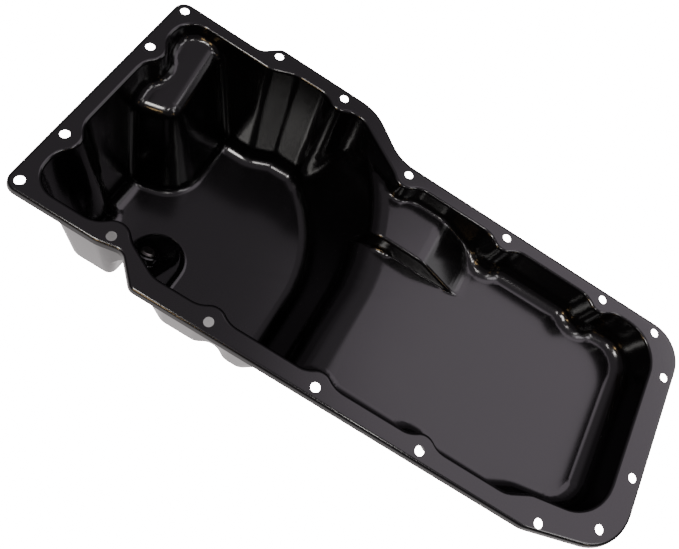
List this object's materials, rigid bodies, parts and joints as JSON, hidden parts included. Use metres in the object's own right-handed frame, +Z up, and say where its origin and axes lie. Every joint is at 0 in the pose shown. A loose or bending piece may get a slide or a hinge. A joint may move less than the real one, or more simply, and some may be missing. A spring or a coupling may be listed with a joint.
{
  "type": "engine oil pan",
  "caption": "Pressed steel engine oil pan with a deep rear sump, shallow front floor, bolted gasket flange and drain plug.",
  "frame": {"origin": "midway between the two corner bolt holes of the rear end, on the gasket face", "axes": "+X forward along the pan to its shallow end, +Y across it to the side away from the drain, +Z up out of the open side"},
  "size_m": [0.56, 0.2603, 0.1565],
  "materials": {
    "black_paint": "gloss black paint",
    "washer": "plain",
    "plug": "zinc plated"
  },
  "bodies": {
    "root": {"pan_shell": "black_paint", "drain_nut": "black_paint", "drain_washer": "washer", "drain_plug": "plug"}
  },
  "joints": []
}
